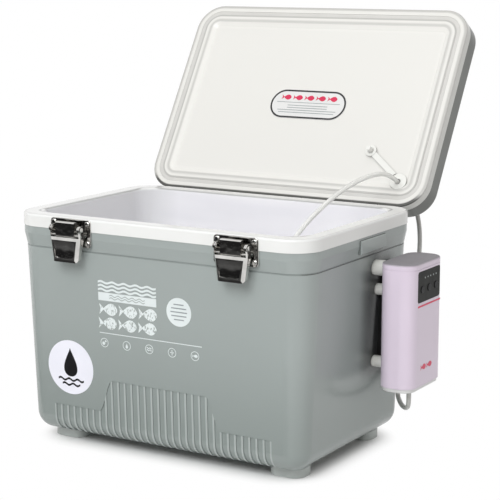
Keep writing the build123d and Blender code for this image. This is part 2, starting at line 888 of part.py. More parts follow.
case_low = pump_low + bottom_cap_height
case_high = pump_top - top_cap_height
window_centre_y = pump_centre_y + window_offset_y
window_centre_z = pump_top - window_top_drop - window_height / 2
button_z = pump_top - window_top_drop - button_drop
light_z = pump_top - window_top_drop - light_drop
inner_face_x = pump_x + pump_wall + chassis_thickness
board_back = pump_front - pump_wall - button_length - board_gap - board_thickness
chamber_low = case_low + chamber_rise
nipple_x = pump_x + nipple_reach_x
nipple_y = pump_centre_y - nipple_offset_y


def window_plate(grow, outer, inner):
    """Rounded plate on the pump's outer face between x = inner and x = outer."""
    plane = Plane((inner, window_centre_y, window_centre_z), x_dir=(0, 1, 0), z_dir=(1, 0, 0))
    section = RectangleRounded(window_width + grow, window_height + grow, window_corner)
    return extrude(plane * section, outer - inner)


def button_places():
    return [window_centre_y + step * button_spacing for step in (-1, 0, 1)]


def light_places():
    middle = (light_count - 1) / 2
    centre = window_centre_y + light_offset_y
    return [centre + (index - middle) * light_spacing for index in range(light_count)]


def pump_case():
    case = pump_block(0, case_low, case_high) - pump_block(pump_wall, case_low, case_high)
    pocket = window_plate(2 * window_gap, pump_front + overrun, pump_front - window_recess)
    case = case - pocket
    for y in button_places():
        case = case - cylinder_x(button_radius + button_clearance, pump_front - pump_wall - overrun,
                                 pump_front + overrun, y, button_z)
    return case


def pump_top_cap():
    cap = pump_block(0, case_high, pump_top)
    cap = fillet(cap.faces().sort_by(Axis.Z)[-1].edges(), cap_edge_radius)
    seam_top = case_high + cap_seam_height
    seam = pump_block(0, case_high, seam_top) - pump_block(cap_inset, case_high, seam_top)
    spigot = pump_block(pump_wall + cap_spigot_gap, case_high - cap_spigot_height, case_high)
    hollow = pump_block(pump_wall * 2, case_high - cap_spigot_height, pump_top - pump_wall)
    return cap + spigot - seam - hollow


def pump_bottom_cap():
    cap = pump_block(bottom_cap_inset, pump_low, case_low)
    cap = fillet(cap.faces().sort_by(Axis.Z)[0].edges(), cap_edge_radius)
    hollow = pump_block(pump_wall * 2, pump_low + pump_wall, case_low + overrun)
    hole = cylinder_z(hose_radius + hose_hole_clearance, pump_low - overrun, case_low, nipple_x, nipple_y)
    return cap - hollow - hole


def pump_chassis():
    """Plate on the inside of the case's back that carries the working parts."""
    half = pump_width / 2 - pump_corner_radius
    plate = box(pump_x + pump_wall, inner_face_x, pump_centre_y - half, pump_centre_y + half,
                case_low + chassis_end_gap, case_high - cap_spigot_height - chassis_end_gap / 2)
    for y in (pump_centre_y - board_post_spacing / 2, pump_centre_y + board_post_spacing / 2):
        plate = plate + cylinder_x(board_post_radius, inner_face_x, board_back, y,
                                   window_centre_z + board_post_rise)
    return plate


def circuit_board():
    half = board_width / 2
    return box(board_back, board_back + board_thickness, pump_centre_y - half, pump_centre_y + half,
               window_centre_z - board_height / 2, window_centre_z + board_height / 2)


def battery_cells():
    x = inner_face_x + cell_radius
    low = case_low + cell_rise
    first = pump_centre_y + cell_offset_y
    second = first + 2 * cell_radius + cell_gap
    return Compound([cylinder_z(cell_radius, low, low + cell_length, x, y) for y in (first, second)])


def pump_motor():
    x = inner_face_x + motor_radius
    y = pump_centre_y - motor_offset_y
    low = chamber_low + chamber_height + motor_gap
    body = cylinder_z(motor_radius, low, low + motor_length, x, y)
    shaft = cylinder_z(motor_shaft_radius, low - motor_shaft_length, low, x, y)
    return body + shaft


def air_chamber():
    y = pump_centre_y - chamber_offset_y
    return box(inner_face_x, inner_face_x + chamber_depth, y - chamber_width / 2, y + chamber_width / 2,
               chamber_low, chamber_low + chamber_height)


def outlet_nipple():
    return cylinder_z(nipple_radius, pump_low + nipple_rise, chamber_low, nipple_x, nipple_y)


def control_panel():
    panel = window_plate(0, pump_front - window_recess + window_thickness, pump_front - window_recess)
    face = panel.faces().sort_by(Axis.X)[-1].edges()
    panel = fillet(face, window_edge_radius)
    for y in button_places():
        panel = panel - cylinder_x(button_radius + button_clearance, pump_front - window_recess - overrun,
                                   pump_front + overrun, y, button_z)
    for y in light_places():
        panel = panel - cylinder_x(light_radius, pump_front - window_recess - overrun, pump_front + overrun,
                                   y, light_z)
    return panel


def push_button(y):
    face = pump_front - window_recess + window_thickness + button_proud
    cap = cylinder_x(button_radius, face - button_length - window_thickness, face, y, button_z)
    return fillet(cap.faces().sort_by(Axis.X)[-1].edges(), button_edge_radius)


def indicator_lights():
    face = pump_front - window_recess + window_thickness
    return Compound([cylinder_x(light_radius, face - window_thickness, face + light_proud, y, light_z)
                     for y in light_places()])


def case_screws():
    x = pump_x + pump_depth / 2 + case_screw_offset_x
    centre = pump_centre_y + case_screw_offset_y
    return Compound([cylinder_z(case_screw_radius, pump_low - case_screw_height, pump_low, x, y)
                     for y in (centre - case_screw_spacing / 2, centre + case_screw_spacing / 2)])


bracket_face = side_face - bracket_inset
bracket_y = pump_centre_y + bracket_offset_y
standoff_low_z = pump_low + standoff_low_rise
standoff_middle_z = pump_top - standoff_middle_drop
standoff_top_z = pump_top - standoff_top_drop


def pump_bracket():
    """Upright behind the pump, shaped to the tub's wall."""
    top = pump_top - bracket_drop
    bar = box(bracket_face - bracket_depth, bracket_face, bracket_y - bracket_width / 2,
              bracket_y + bracket_width / 2, top - bracket_height, top)
    return bar - shell_form(0)


def wall_standoff(radius, y, z):
    """Round stand-off from the tub's wall to the pump."""
    piece = cylinder_x(radius, bracket_face - bracket_depth, pump_x, y, z)
    piece = fillet(piece.edges().filter_by(GeomType.CIRCLE), standoff_edge_radius)
    return piece - shell_form(0)


def pump_standoffs():
    """Two stand-offs on the wall and two on the bracket."""
    near = pump_centre_y - standoff_near_offset_y
    far = pump_centre_y + standoff_far_offset_y
    pieces = []
    for z in (standoff_low_z, standoff_middle_z):
        pieces.append(wall_standoff(standoff_radius, near, z))
        pieces.append(cylinder_x(standoff_radius, bracket_face, pump_x, far, z))
    return Compound(pieces)


def top_standoff():
    return wall_standoff(standoff_big_radius, pump_centre_y - standoff_top_offset_y, standoff_top_z)


# ---------------------------------------------------------------- air line

def opened(shape):
    """Turn a lid piece from its closed place to the open one."""
    return shape.rotate(hinge_axis, -lid_open_angle)


def opened_point(x, y, z):
    angle = math.radians(lid_open_angle)
    along = y - hinge_y
    up = z - hinge_z
    return (x, hinge_y + along * math.cos(angle) + up * math.sin(angle),
            hinge_z - along * math.sin(angle) + up * math.cos(angle))


hose_joint_z = lid_low + lid_thickness / 2
stone_z = cavity_floor_height + stone_radius + stone_floor_gap


def outer_route():
    lid_exit = lid_top + outer_exit_run
    start = (nipple_x, nipple_y, pump_low + nipple_rise)
    return [start, *outer_route_low, opened_point(grommet_x, grommet_y(), lid_exit),
            opened_point(grommet_x, grommet_y(), hose_joint_z)]


def inner_route():
    lid_exit = lid_low + lid_panel_depth - grommet_flange_height - inner_exit_run
    heading = math.radians(stone_heading)
    back = stone_nipple_length + stone_approach
    end = (stone_place[0] - math.cos(heading) * stone_nipple_length,
           stone_place[1] - math.sin(heading) * stone_nipple_length, stone_z)
    before = (stone_place[0] - math.cos(heading) * back,
              stone_place[1] - math.sin(heading) * back, stone_z)
    return [opened_point(grommet_x, grommet_y(), hose_joint_z),
            opened_point(grommet_x, grommet_y(), lid_exit), *inner_route_low, before, end]


def corner_radii(points):
    """0.45 of the shorter run beside each corner, over the tangent of half its turn."""
    radii = []
    for before, at, after in zip(points, points[1:], points[2:]):
        first = Vector(*at) - Vector(*before)
        second = Vector(*after) - Vector(*at)
        half_turn = math.radians(first.get_angle(second)) / 2
        radii.append(0.45 * min(first.length, second.length) / math.tan(half_turn))
    return radii


def hose(points, name):
    radii = corner_radii(points)
    print(name, "radii", [round(r, 1) for r in radii])
    path = FilletPolyline(*points, radius=radii)
    start = Plane(origin=path @ 0, z_dir=path % 0)
    tube = sweep(start * Circle(hose_radius), path=path)
    section = math.pi * hose_radius ** 2
    ratio = tube.volume / (section * path.length)
    print(name, "length", round(path.length, 1), "volume ratio", round(ratio, 4))
    return tube


def air_stone():
    heading = math.radians(stone_heading)
    plane = Plane((stone_place[0], stone_place[1], stone_z), z_dir=(math.cos(heading), math.sin(heading), 0))
    stone = extrude(plane * Circle(stone_radius), stone_length)
    stone = fillet(stone.edges().filter_by(GeomType.CIRCLE), stone_edge_radius)
    nipple = extrude(plane * Circle(stone_nipple_radius), -stone_nipple_length)
    return stone + nipple


# ---------------------------------------------------------------- write every piece

def build():
    parts = {
        "outer_shell": outer_shell(),
        "inner_liner": inner_liner(),
        "tub_insulation": tub_insulation(),
        "lid_shell": opened(lid_shell()),
        "lid_liner": opened(lid_liner()),
        "lid_insulation": opened(lid_insulation()),
        "lid_gasket": opened(lid_gasket()),
        "hose_grommet": opened(hose_grommet()),
        "grommet_plug": opened(grommet_plug()),
        "lid_label": opened(lid_label()),
        "hinge_screws_tub": hinge_screws(body_leaf_top - hinge_body_leaf_height / 2,
                                         back_face + hinge_leaf_thickness),
        "hinge_screws_lid": opened(hinge_screws(
            lid_leaf_low + hinge_lid_leaf_height / 2,
            hinge_y - hinge_knuckle_radius + hinge_leaf_thickness)),
        "keeper_screws": opened(keeper_screws()),
        "pump_case": pump_case(),
        "pump_top_cap": pump_top_cap(),
        "pump_bottom_cap": pump_bottom_cap(),
        "pump_chassis": pump_chassis(),
        "circuit_board": circuit_board(),
        "battery_cells": battery_cells(),
        "pump_motor": pump_motor(),
        "air_chamber": air_chamber(),
        "outlet_nipple": outlet_nipple(),
        "control_panel": control_panel(),
        "indicator_lights": indicator_lights(),
        "case_screws": case_screws(),
        "pump_bracket": pump_bracket(),
        "pump_standoffs": pump_standoffs(),
        "top_standoff": top_standoff(),
        "outer_hose": hose(outer_route(), "outer hose"),
        "inner_hose": hose(inner_route(), "inner hose"),
        "air_stone": air_stone(),
    }
    for side, sign in (("left", -1), ("right", 1)):
        x = sign * hinge_x
        parts[side + "_hinge_body_leaf"] = hinge_body_leaf(x)
        parts[side + "_hinge_lid_leaf"] = opened(hinge_lid_leaf(x))
        parts[side + "_hinge_pin"] = hinge_pin(x)
        x = sign * latch_x
        parts[side + "_latch_plate"] = latch_plate(x)
        parts[side + "_latch_screws"] = latch_screws(x)
        parts[side + "_lever"] = lever(x)
        parts[side + "_lever_rivets"] = lever_rivets(x)
        parts[side + "_claw"] = claw(x)
        parts[side + "_claw_pin"] = claw_pin(x)
        parts[side + "_keeper"] = opened(keeper(x))
    for number, y in enumerate(button_places(), start=1):
        parts["push_button_" + str(number)] = push_button(y)
    return parts


os.makedirs("parts", exist_ok=True)
for name, shape in build().items():
    export_step(shape, "parts/" + name + ".step")
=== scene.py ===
import math
import bpy
from mathutils import Matrix, Vector


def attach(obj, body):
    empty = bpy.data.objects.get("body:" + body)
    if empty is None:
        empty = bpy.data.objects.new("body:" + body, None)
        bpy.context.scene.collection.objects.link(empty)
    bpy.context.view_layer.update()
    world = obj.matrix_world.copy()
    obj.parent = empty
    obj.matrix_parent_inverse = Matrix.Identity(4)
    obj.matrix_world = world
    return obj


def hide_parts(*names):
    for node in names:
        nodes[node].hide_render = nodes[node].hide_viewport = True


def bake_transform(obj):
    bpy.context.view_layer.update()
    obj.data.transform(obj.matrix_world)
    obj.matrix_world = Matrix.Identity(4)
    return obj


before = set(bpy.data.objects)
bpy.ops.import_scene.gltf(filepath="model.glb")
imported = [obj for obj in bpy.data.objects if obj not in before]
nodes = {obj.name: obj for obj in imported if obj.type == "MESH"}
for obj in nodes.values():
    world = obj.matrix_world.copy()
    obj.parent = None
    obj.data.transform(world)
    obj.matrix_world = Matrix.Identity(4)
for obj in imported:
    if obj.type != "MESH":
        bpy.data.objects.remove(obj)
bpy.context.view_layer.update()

scene = bpy.context.scene
print("frame loaded:", len(nodes), "nodes")

# the camera stands where the photograph was taken from
camera = {
    "place": (0.8994, -1.4224, 0.5121),
    "right": (0.85644, 0.51624, 0.0),
    "up": (-0.09328, 0.15475, 0.98352),
    "back": (0.50773, -0.84234, 0.18069),
    "lens": 115.87,
    "sensor": 36.0,
}


def makeCamera():
    data = bpy.data.cameras.new("camera")
    data.lens = camera["lens"]
    data.sensor_width = camera["sensor"]
    made = bpy.data.objects.new("camera", data)
    turn = Matrix((camera["right"], camera["up"], camera["back"])).transposed()
    made.matrix_world = Matrix.Translation(camera["place"]) @ turn.to_4x4()
    scene.collection.objects.link(made)
    scene.camera = made


makeCamera()
print("camera set")


def addObject(name, data):
    made = bpy.data.objects.new(name, data)
    scene.collection.objects.link(made)
    return made


# ---- air hoses: the routes are in metres, from the pump to the lid and from the lid to the air stone
hose = {
    "radius": 0.0025,
    "sides": 3,  # bevel resolution
    "steps": 10,  # points on each span of the spline
    "outerLength": 0.346,
    "outerRoute": [
        (0.2190, 0.0200, 0.0760),
        (0.2190, 0.0200, 0.0665),
        (0.2162, 0.0250, 0.0565),
        (0.2085, 0.0345, 0.0510),
        (0.1975, 0.0465, 0.0510),
        (0.1860, 0.0605, 0.0575),
        (0.1818, 0.0780, 0.0710),
        (0.1805, 0.0960, 0.0870),
        (0.1765, 0.1150, 0.1060),
        (0.1710, 0.1340, 0.1255),
        (0.1645, 0.1520, 0.1445),
        (0.1578, 0.1685, 0.1630),
        (0.1520, 0.1820, 0.1810),
        (0.1475, 0.1932, 0.1995),
        (0.1443, 0.1966, 0.2176),
        (0.1420, 0.1912, 0.2356),
        (0.1414, 0.17784, 0.25009),
        (0.1414, 0.15948, 0.26129),
    ],
    "outerStart": (0.176, 0.118, 0.120),  # the hose follows the tub up to here
    "outerEnd": (0.143, 0.184, 0.247),  # and the lid from here on
    "innerLength": 0.448,
    "innerRoute": [
        (0.1414, 0.15948, 0.26129),
        (0.1414, 0.14404, 0.27072),
        (0.1390, 0.1210, 0.2810),
        (0.1350, 0.0930, 0.2815),
        (0.1310, 0.0630, 0.2770),
        (0.1270, 0.0350, 0.2690),
        (0.1230, 0.0080, 0.2580),
        (0.1185, -0.0180, 0.2440),
        (0.1140, -0.0420, 0.2260),
        (0.1085, -0.0610, 0.2020),
        (0.1015, -0.0720, 0.1740),
        (0.0935, -0.0750, 0.1460),
        (0.0850, -0.0700, 0.1190),
        (0.0770, -0.0630, 0.0940),
        (0.0700, -0.0565, 0.0735),
        (0.0630, -0.0500, 0.0585),
        (0.0545, -0.0420, 0.0487),
        (0.04543, -0.03359, 0.0443),
        (0.03666, -0.02541, 0.0443),
    ],
    "innerStart": (0.115, -0.042, 0.230),
    "innerEnd": (0.1414, 0.135, 0.276),
}


def routeCurve(name, points, radius):
    data = bpy.data.curves.new(name, "CURVE")
    data.dimensions = "3D"
    spline = data.splines.new("NURBS")
    spline.points.add(len(points) - 1)
    for point, place in zip(spline.points, points):
        point.co = (*place, 1.0)
    spline.order_u = 3
    spline.use_endpoint_u = True
    spline.resolution_u = hose["steps"]
    data.bevel_depth = radius
    data.bevel_resolution = hose["sides"]
    data.use_fill_caps = radius > 0
    return addObject(name, data)


def curveMesh(curve):
    made = bpy.data.meshes.new_from_object(curve)
    bpy.data.objects.remove(curve)
    return made


def makeHose(name, route, node):
    line = curveMesh(routeCurve(name + "Line", route, 0.0))
    tube = addObject(name, curveMesh(routeCurve(name + "Tube", route, hose["radius"])))
    for face in tube.data.polygons:
        face.use_smooth = True
    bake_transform(tube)
    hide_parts(node)
    return tube


outerHose = makeHose("outerHose", hose["outerRoute"],
                     "outer_hose")
innerHose = makeHose("innerHose", hose["innerRoute"],
                     "inner_hose")
print("hoses laid")


# ---- tools for materials: every pattern is worked out in the object's own metres
def startMaterial(name, colour, roughness, **values):
    made = bpy.data.materials.new(name)
    made.use_nodes = True
    tree = made.node_tree
    shader = tree.nodes["Principled BSDF"]
    shader.inputs["Base Color"].default_value = (*colour, 1.0)
    shader.inputs["Roughness"].default_value = roughness
    for socket, value in values.items():
        shader.inputs[socket.replace("_", " ")].default_value = value
    return made, tree, shader


def place(tree):
    return tree.nodes.new("ShaderNodeTexCoord").outputs["Object"]


def placeSplit(tree):
    split = tree.nodes.new("ShaderNodeSeparateXYZ")
    tree.links.new(place(tree), split.inputs["Vector"])
    return split.outputs


def noise(tree, scale, detail=2.0, stretch=None):
    texture = tree.nodes.new("ShaderNodeTexNoise")
    texture.inputs["Scale"].default_value = scale
    texture.inputs["Detail"].default_value = detail
    source = place(tree)
    if stretch:
        mapping = tree.nodes.new("ShaderNodeMapping")
        mapping.inputs["Scale"].default_value = stretch
        tree.links.new(source, mapping.inputs["Vector"])
        source = mapping.outputs["Vector"]
    tree.links.new(source, texture.inputs["Vector"])
    return texture.outputs["Fac"]


def rampColour(tree, factor, stops):
    ramp = tree.nodes.new("ShaderNodeValToRGB")
    while len(ramp.color_ramp.elements) < len(stops):
        ramp.color_ramp.elements.new(1.0)
    for element, (position, colour) in zip(ramp.color_ramp.elements, stops):
        element.position = position
        element.color = (*colour, 1.0)
    tree.links.new(factor, ramp.inputs["Fac"])
    return ramp.outputs["Color"]


def blendColour(tree, factor, low, high, start=0.3, end=0.7):
    return rampColour(tree, factor, [(start, low), (end, high)])


def mapRange(tree, value, fromLow, fromHigh, toLow=0.0, toHigh=1.0, smooth=False):
    scaled = tree.nodes.new("ShaderNodeMapRange")
    if smooth:
        scaled.interpolation_type = "SMOOTHSTEP"
    for socket, amount in (("From Min", fromLow), ("From Max", fromHigh), ("To Min", toLow), ("To Max", toHigh)):
        scaled.inputs[socket].default_value = amount
    tree.links.new(value, scaled.inputs["Value"])
    return scaled.outputs["Result"]


def combine(tree, operation, first, second):
    made = tree.nodes.new("ShaderNodeMath")
    made.operation = operation
    for socket, value in zip(made.inputs, (first, second)):
        if isinstance(value, float):
            socket.default_value = value
        else:
            tree.links.new(value, socket)
    return made.outputs["Value"]


def mixColour(tree, factor, low, high):  # low and high are colours or sockets
    mix = tree.nodes.new("ShaderNodeMix")
    mix.data_type = "RGBA"
    tree.links.new(factor, mix.inputs[0])
    for socket, colour in ((mix.inputs[6], low), (mix.inputs[7], high)):
        if isinstance(colour, tuple):
            socket.default_value = (*colour, 1.0)
        else:
            tree.links.new(colour, socket)
    return mix.outputs[2]


def addBump(tree, shader, heights):
    last = None
    for factor, distance in heights:
        bump = tree.nodes.new("ShaderNodeBump")
        bump.inputs["Strength"].default_value = 1.0
        bump.inputs["Distance"].default_value = distance
        tree.links.new(factor, bump.inputs["Height"])
        if last:
            tree.links.new(last, bump.inputs["Normal"])
        last = bump.outputs["Normal"]
    tree.links.new(last, shader.inputs["Normal"])


# The mask for painted shade in creases and close to other parts.
def crevices(tree, reach, alone=True):  # 0 in the open, 1 deep in a groove
    hidden = tree.nodes.new("ShaderNodeAmbientOcclusion")
    hidden.samples = 8
    hidden.only_local = alone
    hidden.inputs["Distance"].default_value = reach
    return combine(tree, "SUBTRACT", 1.0, hidden.outputs["AO"])


def insetFrom(tree, axes, halfX, halfY, radius):  # how far inside a rounded outline a point lies
    past = []
    for axis, half in ((axes["X"], halfX), (axes["Y"], halfY)):
        past.append(combine(tree, "SUBTRACT", combine(tree, "ABSOLUTE", axis, 0.0), half - radius))
    squares = [combine(tree, "POWER", combine(tree, "MAXIMUM", side, 0.0), 2.0) for side in past]
    outer = combine(tree, "POWER", combine(tree, "ADD", *squares), 0.5)
    inner = combine(tree, "MINIMUM", combine(tree, "MAXIMUM", *past), 0.0)
    return combine(tree, "SUBTRACT", radius, combine(tree, "ADD", outer, inner))


outline = {  # plan of the tub and of the lid on it
    "halfX": 0.1775,
    "halfY": 0.1210,
    "corner": 0.0310,
}
lidHinge = {
    "y": 0.1246,
    "z": 0.2431,
    "angle": math.radians(121.4),
}


def onLid(x, y, z):  # a place on the closed lid, turned to where the open lid has it
    c, t = math.cos(lidHinge["angle"]), math.sin(lidHinge["angle"])
    dy, dz = y - lidHinge["y"], z - lidHinge["z"]
    return (x, lidHinge["y"] + dy * c + dz * t, lidHinge["z"] - dy * t + dz * c)


def lidPlaceSplit(tree):  # the same points as on the closed lid
    c, t = math.cos(lidHinge["angle"]), math.sin(lidHinge["angle"])
    y, z = lidHinge["y"], lidHinge["z"]
    turned = tree.nodes.new("ShaderNodeMapping")
    turned.inputs["Rotation"].default_value = (lidHinge["angle"], 0.0, 0.0)
    turned.inputs["Location"].default_value = (0.0, y - (y * c - z * t), z - (y * t + z * c))
    tree.links.new(place(tree), turned.inputs["Vector"])
    split = tree.nodes.new("ShaderNodeSeparateXYZ")
    tree.links.new(turned.outputs["Vector"], split.inputs["Vector"])
    return split.outputs


plasticColours = {
    "body": (0.318, 0.350, 0.345),
    "bodyShade": (0.306, 0.337, 0.332),
    "bodyGrooveShade": (0.235, 0.262, 0.256),
    "bodyLowShade": (0.20, 0.23, 0.22),
    "ribHighlight": (0.390, 0.425, 0.418),
    "foot": (0.43, 0.46, 0.45),
    "shadowBehindPump": (0.02, 0.02, 0.02),
    "rim": (0.715, 0.715, 0.71),
    "cavity": (0.90, 0.89, 0.92),
    "cavityShade": (0.82, 0.815, 0.855),
    "cavityEndShade": (0.70, 0.70, 0.72),
    "lidShell": (0.130, 0.136, 0.126),
    "lidShellShade": (0.120, 0.126, 0.117),
    "pump": (0.675, 0.585, 0.695),
    "pumpShade": (0.655, 0.57, 0.675),
    "pumpTopShade": (0.20, 0.19, 0.205),
    "pumpBase": (0.68, 0.68, 0.68),
}
# The lining's own warm tint, with painted shade lines and painted highlights where the lining steps.
lidShadeAndHighlightRings = {  # how pale the lid's lining is at each distance in from its edge
    "tint": (1.0, 0.988, 0.955),
    "reach": 0.030,
    "stops": [(0.0, 0.48), (0.0026, 0.50), (0.0046, 0.73), (0.0080, 0.73), (0.0095, 0.62), (0.0126, 0.54),
              (0.0138, 0.42), (0.0152, 0.75), (0.0170, 0.72), (0.0190, 0.56), (0.0203, 0.54), (0.0220, 0.76),
              (0.0245, 0.77), (0.0300, 0.725)],
    # painted shadow in the gap along the hinge side
    "hingeShadowInset": 0.0036,  # the dark line along the hinge side
    "shade": (0.07, 0.07, 0.065),
}
# painted shade lines along the rounded edges of the rim's top face
rimShadeRings = {
    "reach": 0.020,
    "stops": [(0.0, 0.74), (0.0008, 0.70), (0.0019, 0.56), (0.0030, 0.74), (0.0148, 0.74), (0.0160, 0.52),
              (0.0170, 0.36), (0.0182, 0.52), (0.0196, 0.74)],
}
ribs = {  # the ribbed panel low on the front
    "halfWidth": 0.134,
    "sideTop": 0.0425,
    "middleTop": 0.077,
    "stepOuter": 0.075,
    "stepInner": 0.057,
    "pitch": 0.0083,
}


def ringStops(rings, tint=(1.0, 1.0, 1.0)):
    return [(inset / rings["reach"], tuple(level * share for share in tint)) for inset, level in rings["stops"]]


# painted highlight: a paler line on each rib between the grooves
def ribHighlightMask(tree, axes):  # 1 on the ribs between the grooves
    across = combine(tree, "ABSOLUTE", axes["X"], 0.0)
    top = mapRange(tree, across, ribs["stepOuter"], ribs["stepInner"], ribs["sideTop"], ribs["middleTop"], smooth=True)
    under = mapRange(tree, combine(tree, "SUBTRACT", top, axes["Z"]), 0.0, 0.0010)
    within = mapRange(tree, across, ribs["halfWidth"], ribs["halfWidth"] - 0.001)
    front = mapRange(tree, axes["Y"], -0.080, -0.085)
    swing = combine(tree, "COSINE", combine(tree, "MULTIPLY", axes["X"], 2 * math.pi / ribs["pitch"]), 0.0)
    mask = mapRange(tree, swing, 0.50, 0.75)
    for part in (under, within, front):
        mask = combine(tree, "MULTIPLY", mask, part)
    return mask


# Painted shade in the grooves, low down on the wall and behind the pump, and a painted highlight on the ribs.
def makeBodyPlastic():  # a little darker in the grooves and low down, paler on the ribs and the feet
    made, tree, shader = startMaterial("greyGreenPlastic", plasticColours["body"], 0.22)
    skin = blendColour(tree, noise(tree, 6.0), plasticColours["bodyShade"], plasticColours["body"])
    # painted shade in the grooves of the wall
    groove = mapRange(tree, crevices(tree, 0.006), 0.25, 0.85, 0.0, 0.7)
    skin = mixColour(tree, groove, skin, plasticColours["bodyGrooveShade"])
    axes = placeSplit(tree)
    # painted shade: the wall darkens towards the bottom
    low = mapRange(tree, axes["Z"], 0.170, 0.020, 0.0, 0.55, smooth=True)
    skin = mixColour(tree, low, skin, plasticColours["bodyLowShade"])
    # painted highlight on the ribs
    skin = mixColour(tree, combine(tree, "MULTIPLY", ribHighlightMask(tree, axes), 0.8), skin, plasticColours["ribHighlight"])
    skin = mixColour(tree, mapRange(tree, axes["Z"], 0.0095, 0.0080), skin, plasticColours["foot"])
    # painted shadow: near-black on the tub's wall behind the pump
    shadow = mapRange(tree, crevices(tree, 0.030, False), 0.25, 0.70, 0.0, 0.85)
    shadow = combine(tree, "MULTIPLY", shadow, mapRange(tree, axes["X"], 0.163, 0.167))
    skin = mixColour(tree, shadow, skin, plasticColours["shadowBehindPump"])
    tree.links.new(skin, shader.inputs["Base Color"])
    tree.links.new(mapRange(tree, noise(tree, 35.0, 2.0), 0.3, 0.7, 0.19, 0.26), shader.inputs["Roughness"])
    addBump(tree, shader, [(noise(tree, 9.0, 0.0), 0.00018)])
    return made


def makeLidShellPlastic():
    made, tree, shader = startMaterial("lidShellPlastic", plasticColours["lidShell"], 0.32)
    skin = blendColour(tree, noise(tree, 6.0), plasticColours["lidShellShade"], plasticColours["lidShell"])
    tree.links.new(skin, shader.inputs["Base Color"])
    tree.links.new(mapRange(tree, noise(tree, 35.0, 2.0), 0.3, 0.7, 0.29, 0.37), shader.inputs["Roughness"])
    addBump(tree, shader, [(noise(tree, 9.0, 0.0), 0.00018)])
    return made


# Painted shade lines at the rim's rounded edges and painted shade on the cavity's far end wall.
def makeLinerPlastic():  # white band outside, soft lines at the rim's edges, lavender white in the cavity
    made, tree, shader = startMaterial("linerPlastic", plasticColours["rim"], 0.14)
    axes = placeSplit(tree)
    inset = insetFrom(tree, axes, outline["halfX"], outline["halfY"], outline["corner"])
    rings = rampColour(tree, mapRange(tree, inset, 0.0, rimShadeRings["reach"]), ringStops(rimShadeRings))
    top = mapRange(tree, axes["Z"], 0.2438, 0.2446)
    skin = mixColour(tree, top, plasticColours["rim"], rings)
    swirl = noise(tree, 7.0, 2.0, (0.45, 1.0, 3.2))
    inside = blendColour(tree, swirl, plasticColours["cavityShade"], plasticColours["cavity"], 0.38, 0.60)
    # painted shade on the cavity's far end wall
    inside = mixColour(tree, mapRange(tree, axes["X"], -0.115, -0.150), inside, plasticColours["cavityEndShade"])
    deep = combine(tree, "MULTIPLY", mapRange(tree, axes["Z"], 0.2455, 0.2440), mapRange(tree, inset, 0.0155, 0.0165))
    skin = mixColour(tree, deep, skin, inside)
    tree.links.new(skin, shader.inputs["Base Color"])
    tree.links.new(mapRange(tree, noise(tree, 22.0, 2.0), 0.3, 0.7, 0.09, 0.17), shader.inputs["Roughness"])
    waves = combine(tree, "MULTIPLY", noise(tree, 8.0, 1.0), deep)
    addBump(tree, shader, [(waves, 0.0022), (noise(tree, 9.0, 0.0), 0.0002)])
    return made


# Painted shade lines and highlights where the lining steps, a painted shadow along the hinge side and painted shade
# around the parts on it.
def makeLidLinerPlastic():  # soft grey rings where the lining steps, and a dark line along the hinge side
    made, tree, shader = startMaterial("lidLinerPlastic", (0.73, 0.72, 0.70), 0.28)
    axes = lidPlaceSplit(tree)
    inset = insetFrom(tree, axes, outline["halfX"], outline["halfY"], outline["corner"])
    skin = rampColour(tree, mapRange(tree, inset, 0.0, lidShadeAndHighlightRings["reach"]), ringStops(lidShadeAndHighlightRings, lidShadeAndHighlightRings["tint"]))
    # painted shade on the outer rounded edge of the lining's side band
    side = mapRange(tree, axes["Z"], 0.2485, 0.2492)
    skin = mixColour(tree, combine(tree, "MULTIPLY", side, mapRange(tree, inset, 0.0010, 0.0004)), skin,
                     (0.60, 0.60, 0.58))
    # painted shadow: a dark line along the hinge side
    edge = lidShadeAndHighlightRings["hingeShadowInset"]
    shade = combine(tree, "MULTIPLY", mapRange(tree, inset, edge, edge - 0.0008),
                    mapRange(tree, axes["Y"], 0.104, 0.112))
    shade = combine(tree, "MULTIPLY", shade, mapRange(tree, axes["Z"], 0.2490, 0.2482))
    skin = mixColour(tree, shade, skin, lidShadeAndHighlightRings["shade"])
    # painted shade on the lining close to other parts, around the strap, label and grommet
    paintedContactShade = mapRange(tree, crevices(tree, 0.004, False), 0.15, 0.6, 0.0, 0.8)
    skin = mixColour(tree, paintedContactShade, skin, (0.42, 0.415, 0.40))
    tree.links.new(skin, shader.inputs["Base Color"])
    tree.links.new(mapRange(tree, noise(tree, 12.0, 1.0), 0.3, 0.7, 0.29, 0.35), shader.inputs["Roughness"])
    addBump(tree, shader, [(noise(tree, 8.0, 0.0), 0.00004)])
    return made


def makePumpPlastic():
    made, tree, shader = startMaterial("pumpPlastic", plasticColours["pump"], 0.22)
    skin = blendColour(tree, noise(tree, 12.0), plasticColours["pumpShade"], plasticColours["pump"])
    # painted shade in the case's creases
    skin = mixColour(tree, mapRange(tree, crevices(tree, 0.004), 0.2, 0.7), skin, (0.34, 0.30, 0.36))
    height = placeSplit(tree)["Z"]
    # painted shade: the pump's top face is painted dark grey
    skin = mixColour(tree, mapRange(tree, height, 0.2052, 0.2072), skin, plasticColours["pumpTopShade"])
    tree.links.new(skin, shader.inputs["Base Color"])
    gloss = mapRange(tree, noise(tree, 60.0, 2.0), 0.3, 0.7, 0.18, 0.26)
    gloss = combine(tree, "ADD", gloss, mapRange(tree, height, 0.2052, 0.2072, 0.0, 0.35))
    tree.links.new(gloss, shader.inputs["Roughness"])
    addBump(tree, shader, [(noise(tree, 30.0, 0.0), 0.00008), (noise(tree, 300.0, 0.0), 0.000002)])
    return made


